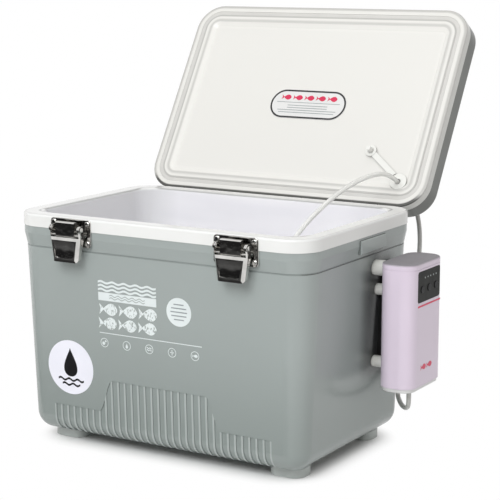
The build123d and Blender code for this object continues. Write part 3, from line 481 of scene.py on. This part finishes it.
def makePlain(name, colour, shade, roughness, grain=0.000004, scale=300.0, contactShade=None, **values):
    made, tree, shader = startMaterial(name, colour, roughness, **values)
    skin = blendColour(tree, noise(tree, 40.0, 3.0), shade, colour)
    # painted shade in creases and close to other parts
    if contactShade:
        skin = mixColour(tree, mapRange(tree, crevices(tree, 0.003, False), 0.12, 0.55, 0.0, 0.85), skin, contactShade)
    tree.links.new(skin, shader.inputs["Base Color"])
    tree.links.new(mapRange(tree, noise(tree, 120.0, 3.0), 0.3, 0.7, roughness * 0.85, roughness * 1.2),
                   shader.inputs["Roughness"])
    addBump(tree, shader, [(noise(tree, scale, 2.0), grain)])
    return made


def makePolishedSteel():
    made, tree, shader = startMaterial("polishedSteel", (0.66, 0.65, 0.63), 0.07, Metallic=1.0)
    cloud = noise(tree, 80.0, 4.0)
    skin = blendColour(tree, cloud, (0.56, 0.55, 0.53), (0.72, 0.71, 0.69))
    # painted shade in the steel's creases
    skin = mixColour(tree, mapRange(tree, crevices(tree, 0.003), 0.3, 0.9), skin, (0.05, 0.045, 0.04))
    tree.links.new(skin, shader.inputs["Base Color"])
    tree.links.new(mapRange(tree, cloud, 0.3, 0.7, 0.05, 0.12), shader.inputs["Roughness"])
    addBump(tree, shader, [(noise(tree, 110.0, 1.0), 0.00032)])
    return made


def makeSteel():
    made, tree, shader = startMaterial("plainSteel", (0.50, 0.50, 0.49), 0.3, Metallic=1.0)
    tree.links.new(mapRange(tree, noise(tree, 300.0, 3.0), 0.3, 0.7, 0.22, 0.4), shader.inputs["Roughness"])
    addBump(tree, shader, [(noise(tree, 800.0, 2.0), 0.000005)])
    return made


def makeStone():
    made, tree, shader = startMaterial("airStone", (0.35, 0.45, 0.55), 0.9)
    grains = tree.nodes.new("ShaderNodeTexVoronoi")
    grains.inputs["Scale"].default_value = 900.0
    tree.links.new(place(tree), grains.inputs["Vector"])
    skin = blendColour(tree, grains.outputs["Distance"], (0.18, 0.26, 0.36), (0.42, 0.52, 0.62), 0.1, 0.6)
    tree.links.new(skin, shader.inputs["Base Color"])
    addBump(tree, shader, [(grains.outputs["Distance"], 0.0004)])
    return made


def makeHoseRubber(name, colour, shade, roughness, **values):
    made, tree, shader = startMaterial(name, colour, roughness, **values)
    tree.links.new(blendColour(tree, noise(tree, 70.0, 3.0), shade, colour), shader.inputs["Base Color"])
    tree.links.new(mapRange(tree, noise(tree, 200.0, 3.0), 0.3, 0.7, roughness * 0.85, roughness * 1.2),
                   shader.inputs["Roughness"])
    addBump(tree, shader, [(noise(tree, 300.0, 1.0), 0.00002)])
    return made


def makeWornInk(name, colour, under):  # print that has come off in specks
    made, tree, shader = startMaterial(name, colour, 0.45)
    specks = noise(tree, 700.0, 3.0, (1.0, 1.0, 0.5))
    tree.links.new(blendColour(tree, specks, under, colour, 0.40, 0.45), shader.inputs["Base Color"])
    addBump(tree, shader, [(specks, 0.00001)])
    return made


bodyPlastic = makeBodyPlastic()
lidShellPlastic = makeLidShellPlastic()
linerPlastic = makeLinerPlastic()
lidLinerPlastic = makeLidLinerPlastic()
pumpPlastic = makePumpPlastic()
polishedSteel = makePolishedSteel()
plainSteel = makeSteel()
airStone = makeStone()
pumpBasePlastic = makePlain("pumpBasePlastic", plasticColours["pumpBase"], (0.65, 0.65, 0.65), 0.34)
whiteRubber = makePlain("whiteRubber", (0.78, 0.78, 0.755), (0.74, 0.74, 0.715), 0.38, contactShade=(0.34, 0.34, 0.32))
gasketRubber = makePlain("gasketRubber", (0.61, 0.60, 0.58), (0.57, 0.56, 0.545), 0.50)
whitePlastic = makePlain("whitePlastic", (0.78, 0.78, 0.75), (0.74, 0.74, 0.71), 0.34, contactShade=(0.34, 0.34, 0.32))
blackPlastic = makePlain("blackPlastic", (0.010, 0.010, 0.010), (0.007, 0.007, 0.007), 0.50, Specular_IOR_Level=0.25)
windowPlastic = makePlain("windowPlastic", (0.013, 0.014, 0.012), (0.010, 0.011, 0.010), 0.34, 0.000002,
                          Specular_IOR_Level=0.08)
buttonRubber = makePlain("buttonRubber", (0.006, 0.006, 0.007), (0.004, 0.004, 0.005), 0.45, Specular_IOR_Level=0.2)
lightLens = makePlain("lightLens", (0.35, 0.38, 0.38), (0.28, 0.31, 0.31), 0.20)
foam = makePlain("foam", (0.75, 0.68, 0.45), (0.66, 0.58, 0.36), 0.85, 0.0003, 400.0)
boardLacquer = makePlain("boardLacquer", (0.02, 0.14, 0.05), (0.015, 0.10, 0.04), 0.34)
cellWrap = makePlain("cellWrap", (0.05, 0.14, 0.38), (0.04, 0.10, 0.30), 0.34)
innerPlastic = makePlain("innerPlastic", (0.10, 0.10, 0.11), (0.08, 0.08, 0.09), 0.5)
labelFilm = makePlain("labelFilm", (0.73, 0.73, 0.73), (0.70, 0.70, 0.70), 0.22, 0.000003)
whiteInk = makePlain("whiteInk", (0.68, 0.725, 0.735), (0.63, 0.675, 0.685), 0.45, 0.000004)
wornInk = makeWornInk("wornInk", (0.68, 0.725, 0.735), plasticColours["body"])
paleInk = makePlain("paleInk", (0.78, 0.78, 0.86), (0.75, 0.75, 0.83), 0.34, 0.000004)
blackInk = makePlain("blackInk", (0.010, 0.010, 0.012), (0.008, 0.008, 0.010), 0.40, 0.000004)
greyInk = makePlain("greyInk", (0.28, 0.31, 0.32), (0.24, 0.27, 0.28), 0.45, 0.000004)
redInk = makePlain("redInk", (0.64, 0.020, 0.085), (0.58, 0.018, 0.075), 0.35, 0.000004)
bodyInk = makePlain("bodyInk", plasticColours["body"], plasticColours["bodyShade"], 0.34, 0.000004)
outerRubber = makeHoseRubber("outerRubber", (0.47, 0.47, 0.455), (0.43, 0.43, 0.415), 0.36)
innerRubber = makeHoseRubber("innerRubber", (0.90, 0.90, 0.88), (0.87, 0.87, 0.85), 0.16, Transmission_Weight=0.35,
                             IOR=1.38)
print("materials made")

finishes = [
    (bodyPlastic, ["outer_shell"]),
    (lidShellPlastic, ["lid_shell"]),
    (linerPlastic, ["inner_liner"]),
    (lidLinerPlastic, ["lid_liner"]),
    (foam, ["tub_insulation", "lid_insulation"]),
    (gasketRubber, ["lid_gasket"]),
    (whiteRubber, ["hose_grommet", "grommet_plug"]),
    (labelFilm, ["lid_label"]),
    (pumpPlastic, ["pump_case", "pump_top_cap"]),
    (pumpBasePlastic, ["pump_bottom_cap"]),
    (whitePlastic, ["pump_standoffs", "top_standoff"]),
    (windowPlastic, ["control_panel"]),
    (buttonRubber, ["push_button_1", "push_button_2", "push_button_3"]),
    (lightLens, ["indicator_lights"]),
    (blackPlastic, ["pump_bracket", "left_hinge_body_leaf", "right_hinge_body_leaf",
                    "left_hinge_lid_leaf", "right_hinge_lid_leaf"]),
    (boardLacquer, ["circuit_board"]),
    (cellWrap, ["battery_cells"]),
    (innerPlastic, ["pump_chassis", "air_chamber", "outlet_nipple"]),
    (airStone, ["air_stone"]),
    (plainSteel, ["pump_motor", "case_screws", "hinge_screws_tub", "hinge_screws_lid", "left_hinge_pin",
                  "right_hinge_pin"]),
    (polishedSteel, [side + piece for side in ("left_", "right_")
                     for piece in ("latch_plate", "latch_screws", "lever", "lever_rivets", "claw",
                                   "claw_pin", "keeper")] + ["keeper_screws"]),
]


def dress(piece, paint):
    piece.data.materials.clear()
    piece.data.materials.append(paint)


def paintNodes():
    for paint, names in finishes:
        for name in names:
            slots = nodes[name].material_slots
            if len(slots) == 0:
                nodes[name].data.materials.append(paint)
            for used in slots:
                used.material = paint
    dress(outerHose, outerRubber)
    dress(innerHose, innerRubber)


paintNodes()
print("nodes painted")


# ---- prints: thin shapes that lie on a face; outlines are flat points in metres, u to the right and v up
def facePlane(origin, right, up):
    return Vector(origin), Vector(right).normalized(), Vector(up).normalized()


def makePrint(name, outlines, plane, thickness, body, paint):
    data = bpy.data.curves.new(name, "CURVE")
    data.dimensions = "2D"
    data.fill_mode = "BOTH"
    data.extrude = thickness / 2
    for outline in outlines:
        spline = data.splines.new("POLY")
        spline.points.add(len(outline) - 1)
        for point, (u, v) in zip(spline.points, outline):
            point.co = (u, v, 0.0, 1.0)
        spline.use_cyclic_u = True
    mesh = curveMesh(addObject(name + "Outline", data))
    origin, right, up = plane
    normal = right.cross(up)
    for vertex in mesh.vertices:
        u, v, lift = vertex.co
        vertex.co = origin + right * u + up * v + normal * lift
    made = addObject(name, mesh)
    dress(made, paint)
    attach(made, body)
    return made


def circle(radius, u=0.0, v=0.0, count=64, start=0.0, sweep=2 * math.pi):
    return [(u + radius * math.cos(start + sweep * i / count), v + radius * math.sin(start + sweep * i / count))
            for i in range(count)]


def wave(left, right, v, height, rise, period, phase=0.0, count=60):  # a ribbon that follows a sine
    top, low = [], []
    for i in range(count + 1):
        u = left + (right - left) * i / count
        centre = v + rise * math.sin(2 * math.pi * (u - left) / period + phase)
        top.append((u, centre + height / 2))
        low.append((u, centre - height / 2))
    return low + top[::-1]


def bar(left, right, low, high):
    return [(left, low), (right, low), (right, high), (left, high)]


def stadium(length, height, count=24):
    radius = height / 2
    reach = length / 2 - radius
    right = [(reach + radius * math.cos(a), radius * math.sin(a))
             for a in [math.pi * (i / count - 0.5) for i in range(count + 1)]]
    return right + [(-u, -v) for u, v in right]


def drop(radius, u, v, count=40):  # a water drop standing on its round end
    points = []
    for i in range(count):
        angle = 2 * math.pi * i / count
        reach = radius * math.sin(angle / 2) ** 1.6
        points.append((u + reach * math.sin(angle), v + 1.25 * radius * math.cos(angle)))
    return points


frontPrint = {
    "face": -0.1177,  # the wall's place at its shoulder
    "shoulder": 0.2125,
    "lean": 0.038416,  # how much the wall moves in for each metre down
    "lift": 0.00010,
    "step": 0.00012,  # a second colour lies this much further out
    "thickness": 0.00014,
    "bigBadge": (-0.1100, 0.0850, 0.0293),  # x, z and radius
    "smallBadge": (0.0288, 0.1606, 0.0148),
    "left": -0.0702,
    "blockRight": 0.0018,
    "lineRight": 0.0551,
    "ringRadius": 0.0049,
    "ringPlaces": (-0.0646, -0.0366, -0.0087, 0.0192, 0.0467),
    "ringHeight": 0.1176,
}


def onFront(name, x, z, outlines, paint=None, layer=0):
    lean = frontPrint["lean"]
    y = frontPrint["face"] + (frontPrint["shoulder"] - z) * lean - frontPrint["lift"] - layer * frontPrint["step"]
    plane = facePlane((x, y, z), (1, 0, 0), (0, -lean, 1))
    return makePrint(name, outlines, plane, frontPrint["thickness"], "tub", paint or whiteInk)


def fish(length, height, u, v, way=1):  # plain side view: lens body and forked tail
    body = []
    for i in range(41):
        t = i / 40
        body.append((length * (0.5 - 0.78 * t), height * 0.5 * math.sin(math.pi * t ** 0.8) ** 0.85))
    tail = [(-0.29 * length, 0.10 * height), (-0.5 * length, 0.46 * height), (-0.43 * length, 0.0)]
    upper = body[:-1] + tail
    lower = [(a, -b) for a, b in reversed(upper[1:-1])]
    return [(u + way * a, v + b) for a, b in (upper + lower)][::way]


def makeBadges():
    x, z, radius = frontPrint["bigBadge"]
    onFront("bigBadge", x, z, [circle(radius)], paleInk)
    onFront("badgeDrop", x, z + 0.0055, [drop(0.0125, 0.0, 0.0)], blackInk, 1)
    onFront("badgeRipples", x, z - 0.0135, [wave(-0.0165, 0.0165, 0.0, 0.0022, 0.0011, 0.011),
                                            wave(-0.0115, 0.0115, -0.0052, 0.0022, 0.0011, 0.011)], blackInk, 1)
    x, z, radius = frontPrint["smallBadge"]
    onFront("smallBadge", x, z, [circle(radius)])
    rows = [(0.0060, 0.0078), (0.0090, 0.0039), (0.0100, 0.0), (0.0090, -0.0039), (0.0060, -0.0078)]
    onFront("smallBadgeRows", x, z, [bar(-half, half, v - 0.0006, v + 0.0006) for half, v in rows], greyInk, 1)


def makeFrontPrints():
    left, right = frontPrint["left"], frontPrint["blockRight"]
    middle, half = (left + right) / 2, (right - left) / 2
    ribbons = [wave(-half, half, v, 0.0021, 0.0009, 0.0145, 0.0, 160) for v in (0.0040, 0.0, -0.0040)]
    onFront("waveRows", middle, 0.1778, ribbons)
    onFront("plainBar", middle, 0.1668, [bar(-half, half, -0.0043, 0.0043)], whiteInk)
    onFront("barRipple", middle, 0.1668, [wave(-0.022, 0.022, v, 0.0009, 0.0009, 0.0088) for v in (0.0013, -0.0013)],
            bodyInk, 1)
    school = [fish(0.0228, 0.0128, (i - 1) * 0.0246 + shift, v)
              for v, shift in ((0.0074, 0.0006), (-0.0074, -0.0006)) for i in range(3)]
    onFront("fishSchool", middle, 0.1462, school, wornInk)
    onFront("thinRule", 0.0, 0.1280, [bar(left, frontPrint["lineRight"], -0.0004, 0.0004)])
    radius = frontPrint["ringRadius"]
    inside = [
        [circle(0.0018, -0.0010, -0.0008), circle(0.0010, 0.0016, 0.0016)],
        [drop(0.0021, 0.0, -0.0002)],
        [wave(-0.0030, 0.0030, v, 0.0009, 0.0005, 0.0030) for v in (0.0011, -0.0011)],
        [bar(-0.0004, 0.0004, -0.0028, 0.0028), bar(-0.0022, -0.0008, -0.0004, 0.0004),
         bar(0.0008, 0.0022, -0.0004, 0.0004)],
        [fish(0.0066, 0.0032, 0.0, 0.0)],
    ]
    for index, x in enumerate(frontPrint["ringPlaces"]):
        ring = [circle(radius), circle(radius - 0.0006)] + inside[index]
        onFront("ringMark" + str(index + 1), x, frontPrint["ringHeight"], ring)


makeBadges()
makeFrontPrints()

lidLabel = {
    "x": 0.003,
    "y": 0.004,
    "face": 0.2498,  # height of the label's face on the closed lid
    "length": 0.098,
    "height": 0.036,
    "border": 0.0022,
}


def makeLabelPrints():
    c, t = math.cos(lidHinge["angle"]), math.sin(lidHinge["angle"])
    plane = facePlane(onLid(lidLabel["x"], lidLabel["y"], lidLabel["face"] - 0.0001), (1, 0, 0), (0, -c, t))
    length, height, border = lidLabel["length"], lidLabel["height"], lidLabel["border"]
    edge = [stadium(length - 0.0004, height - 0.0004), stadium(length - 2 * border, height - 2 * border)]
    makePrint("labelBorder", edge, plane, 0.00016, "lid", blackInk)
    school = [fish(0.0125, 0.0064, (i - 2) * 0.0150, 0.0082) for i in range(5)]
    makePrint("labelFish", school, plane, 0.00016, "lid", redInk)
    rows = [(0.041, 0.0020, 0.0003), (0.026, -0.0018, 0.00035), (0.026, -0.0048, 0.00035), (0.038, -0.0078, 0.00035),
            (0.036, -0.0108, 0.00035)]
    rules = [bar(-half, half, v - thick, v + thick) for half, v, thick in rows]
    makePrint("labelRules", rules, plane, 0.00016, "lid", greyInk)


pumpPrint = {
    "face": 0.2290,
    "stripe": (0.0430, 0.1632, 0.0265, 0.0009),  # y, z, half length and half height
    "mark": (0.0385, 0.0988),
}


def makePumpPrints():
    def onPump(name, y, z, outlines, paint):
        plane = facePlane((pumpPrint["face"] + 0.0001, y, z), (0, 1, 0), (0, 0, 1))
        makePrint(name, outlines, plane, 0.00014, "tub", paint)
    y, z, half, rise = pumpPrint["stripe"]
    onPump("pumpStripe", y, z, [bar(-half, half, -rise, rise)], redInk)
    y, z = pumpPrint["mark"]
    onPump("pumpMark", y, z, [fish(0.0125, 0.0058, -0.0070, 0.0), fish(0.0125, 0.0058, 0.0070, 0.0)], redInk)


makeLabelPrints()
makePumpPrints()
print("prints laid")


# ---- stage: a pale floor, soft lamps and a dark card for the steel to mirror
studio = {
    "floorSize": 8.0,
    "floorColour": (0.90, 0.90, 0.90),
    "footprint": (0.146, 0.0895, 0.030),  # half sizes and corner of the base, where its shadow is full
    "fadeEnd": 0.036,  # the shadow has gone this far outside the base
    "skyColour": (1.0, 0.985, 0.955),
    "skyStrength": 0.60,
    "lamps": [
        # name, place, aim, width, height, power, colour
        ("keyLamp", (0.15, -1.15, 1.05), (0.0, 0.0, 0.20), 0.9, 0.7, 13.0, (0.98, 1.0, 1.0)),
        ("topLamp", (0.1, -0.2, 2.2), (0.0, 0.0, 0.2), 1.6, 1.6, 6.0, (1.0, 1.0, 1.0)),
    ],
    "cards": [
        # name, place, facing, width, height, stops from the foot or left side up
        ("frontCard", (-0.40, -0.68, 0.13), (-0.40, 0.0, 0.13), 1.10, 0.26, "Y",
         [(0.0, 0.12), (0.25, 0.10), (0.45, 0.02), (1.0, 0.012)]),
        ("floorCard", (-0.40, -0.41, 0.004), (-0.40, -0.41, 1.0), 1.10, 0.52, "Y",
         [(0.0, 0.10), (1.0, 0.03)]),
        ("rightCard", (0.40, -0.68, 0.13), (0.40, 0.0, 0.13), 0.50, 0.26, "X",
         [(0.0, 0.03), (0.11, 0.03), (0.14, 0.60), (0.18, 0.04), (0.48, 0.03), (0.53, 0.60), (0.58, 0.04), (1.0, 0.03)]),
    ],
}


def backgroundRays(tree):  # 1 for camera, glossy and transmission rays
    path = tree.nodes.new("ShaderNodeLightPath").outputs
    total = combine(tree, "MAXIMUM", path["Is Camera Ray"], path["Is Glossy Ray"])
    return combine(tree, "MAXIMUM", total, path["Is Transmission Ray"])


def makeWorld():
    world = bpy.data.worlds.new("studio")
    scene.world = world
    world.use_nodes = True
    tree = world.node_tree
    light = tree.nodes["Background"]
    light.inputs["Color"].default_value = (*studio["skyColour"], 1.0)
    light.inputs["Strength"].default_value = studio["skyStrength"]
    shown = tree.nodes.new("ShaderNodeBackground")
    shown.inputs["Color"].default_value = (1.0, 1.0, 1.0, 1.0)
    shown.inputs["Strength"].default_value = 1.0
    mix = tree.nodes.new("ShaderNodeMixShader")
    tree.links.new(backgroundRays(tree), mix.inputs["Fac"])
    tree.links.new(light.outputs["Background"], mix.inputs[1])
    tree.links.new(shown.outputs["Background"], mix.inputs[2])
    tree.links.new(mix.outputs["Shader"], tree.nodes["World Output"].inputs["Surface"])


def makeFloor():
    half = studio["floorSize"] / 2
    mesh = bpy.data.meshes.new("floor")
    mesh.from_pydata([(-half, -half, 0), (half, -half, 0), (half, half, 0), (-half, half, 0)], [], [(0, 1, 2, 3)])
    floor = addObject("floor", mesh)
    floor.location.z = -0.0003
    made, tree, shader = startMaterial("floorPaint", studio["floorColour"], 0.9)
    inset = insetFrom(tree, placeSplit(tree), *studio["footprint"])
    share = combine(tree, "MULTIPLY", mapRange(tree, inset, 0.0, -studio["fadeEnd"], smooth=True),
                    backgroundRays(tree))
    glow = tree.nodes.new("ShaderNodeEmission")
    mix = tree.nodes.new("ShaderNodeMixShader")
    tree.links.new(share, mix.inputs["Fac"])
    tree.links.new(shader.outputs["BSDF"], mix.inputs[1])
    tree.links.new(glow.outputs["Emission"], mix.inputs[2])
    tree.links.new(mix.outputs["Shader"], tree.nodes["Material Output"].inputs["Surface"])
    dress(floor, made)


def aimAt(thing, spot, aim):
    thing.location = spot
    thing.rotation_euler = (Vector(aim) - Vector(spot)).to_track_quat("-Z", "Y").to_euler()


def makeLamps():
    for name, spot, aim, width, height, power, colour in studio["lamps"]:
        data = bpy.data.lights.new(name, "AREA")
        data.shape = "RECTANGLE"
        data.size = width
        data.size_y = height
        data.energy = power
        data.color = colour
        aimAt(addObject(name, data), spot, aim)


def makeCards():  # seen by mirrors only
    for name, spot, aim, width, height, axis, stops in studio["cards"]:
        mesh = bpy.data.meshes.new(name)
        w, h = width / 2, height / 2
        mesh.from_pydata([(-w, -h, 0), (w, -h, 0), (w, h, 0), (-w, h, 0)], [], [(0, 1, 2, 3)])
        card = addObject(name, mesh)
        aimAt(card, spot, aim)
        made = bpy.data.materials.new(name + "Paint")
        made.use_nodes = True
        tree = made.node_tree
        tree.nodes.remove(tree.nodes["Principled BSDF"])
        glow = tree.nodes.new("ShaderNodeEmission")
        reach = h if axis == "Y" else w
        grey = rampColour(tree, mapRange(tree, placeSplit(tree)[axis], -reach, reach),
                          [(position, (level,) * 3) for position, level in stops])
        tree.links.new(grey, glow.inputs["Color"])
        tree.links.new(glow.outputs["Emission"], tree.nodes["Material Output"].inputs["Surface"])
        dress(card, made)
        card.visible_camera = False
        card.visible_diffuse = False
        card.visible_shadow = False
        card.visible_transmission = False


makeWorld()
makeFloor()
makeLamps()
makeCards()
scene.view_settings.view_transform = "Standard"
print("stage set")
